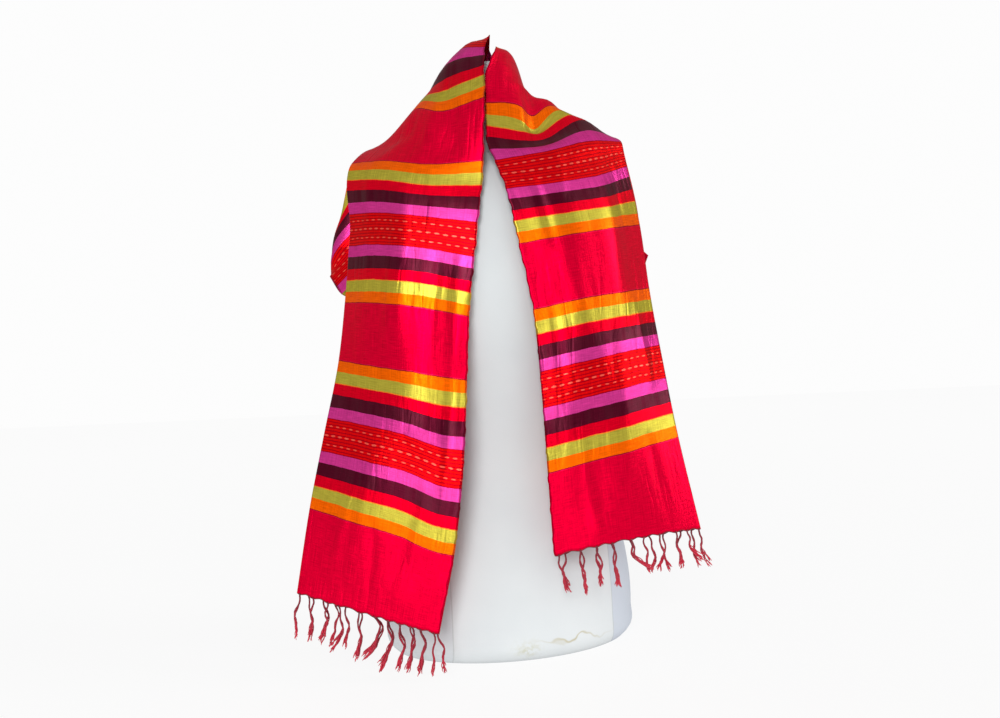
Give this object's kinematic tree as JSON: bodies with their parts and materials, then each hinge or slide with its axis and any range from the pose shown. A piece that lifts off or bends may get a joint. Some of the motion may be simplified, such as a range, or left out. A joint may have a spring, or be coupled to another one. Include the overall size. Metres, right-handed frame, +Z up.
{
  "type": "wrap scarf on a limbless dress form",
  "caption": "Long fringed wrap scarf, folded lengthwise and worn round the neck, its two ends hanging in front of a limbless dress form and its under half open over the back.",
  "frame": {"origin": "centre of the dress form's flat underside", "axes": "+Z up; the scarf's two ends hang on the -Y side, the shorter one towards +X; the form itself is turned 12 degrees about Z, so that its front faces between -Y and +X"},
  "size_m": [0.515, 0.3215, 0.8208],
  "materials": {
    "scarf_cloth": "striped satin weave",
    "scarf_fringe": "loose threads",
    "form_cover": "smooth stretched jersey"
  },
  "bodies": {
    "root": {"scarf_front_left": "scarf_cloth", "scarf_side_left": "scarf_cloth", "scarf_shoulder_left": "scarf_cloth", "scarf_nape_back": "scarf_cloth", "scarf_shoulder_right": "scarf_cloth", "scarf_side_right": "scarf_cloth", "scarf_front_right": "scarf_cloth", "fringe_left": "scarf_fringe", "fringe_right": "scarf_fringe", "dress_form": "form_cover"}
  },
  "joints": []
}
